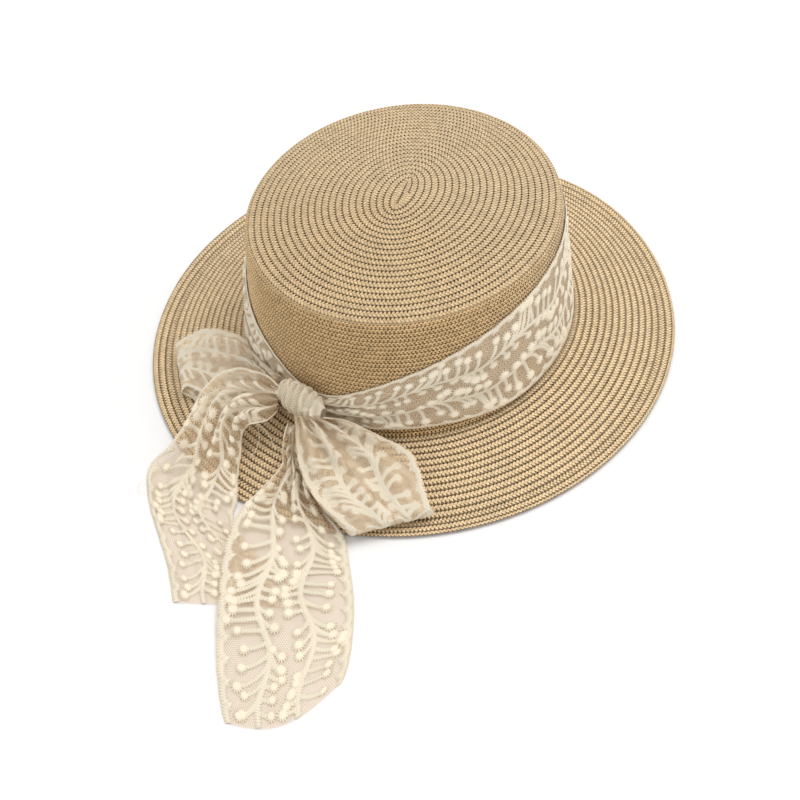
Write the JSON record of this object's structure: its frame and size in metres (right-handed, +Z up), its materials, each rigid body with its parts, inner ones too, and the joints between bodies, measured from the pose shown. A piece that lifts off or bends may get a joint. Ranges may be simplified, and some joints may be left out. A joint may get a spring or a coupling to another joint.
{
  "type": "sun hat",
  "caption": "Wide-brimmed sun hat of sewn braid with a flat-topped hollow crown and a lace ribbon tied round it in a bow, tails laid over the brim.",
  "frame": {"origin": "centre of the whole in plan, at the height of the table the brim rests on", "axes": "+Z up, Y along the long axis of the oval with the bow at the -Y end, X across"},
  "size_m": [0.2952, 0.4358, 0.1004],
  "materials": {
    "straw_braid": "matte plaited paper straw, sewn in a spiral",
    "lace": "matte ivory net with satin-stitched vine"
  },
  "bodies": {
    "root": {"crown_side": "straw_braid", "crown_top": "straw_braid", "brim": "straw_braid", "lace_band": "lace", "bow_knot": "lace", "bow_loop_left": "lace", "bow_loop_right": "lace", "bow_tail_left": "lace", "bow_tail_right": "lace"}
  },
  "joints": []
}
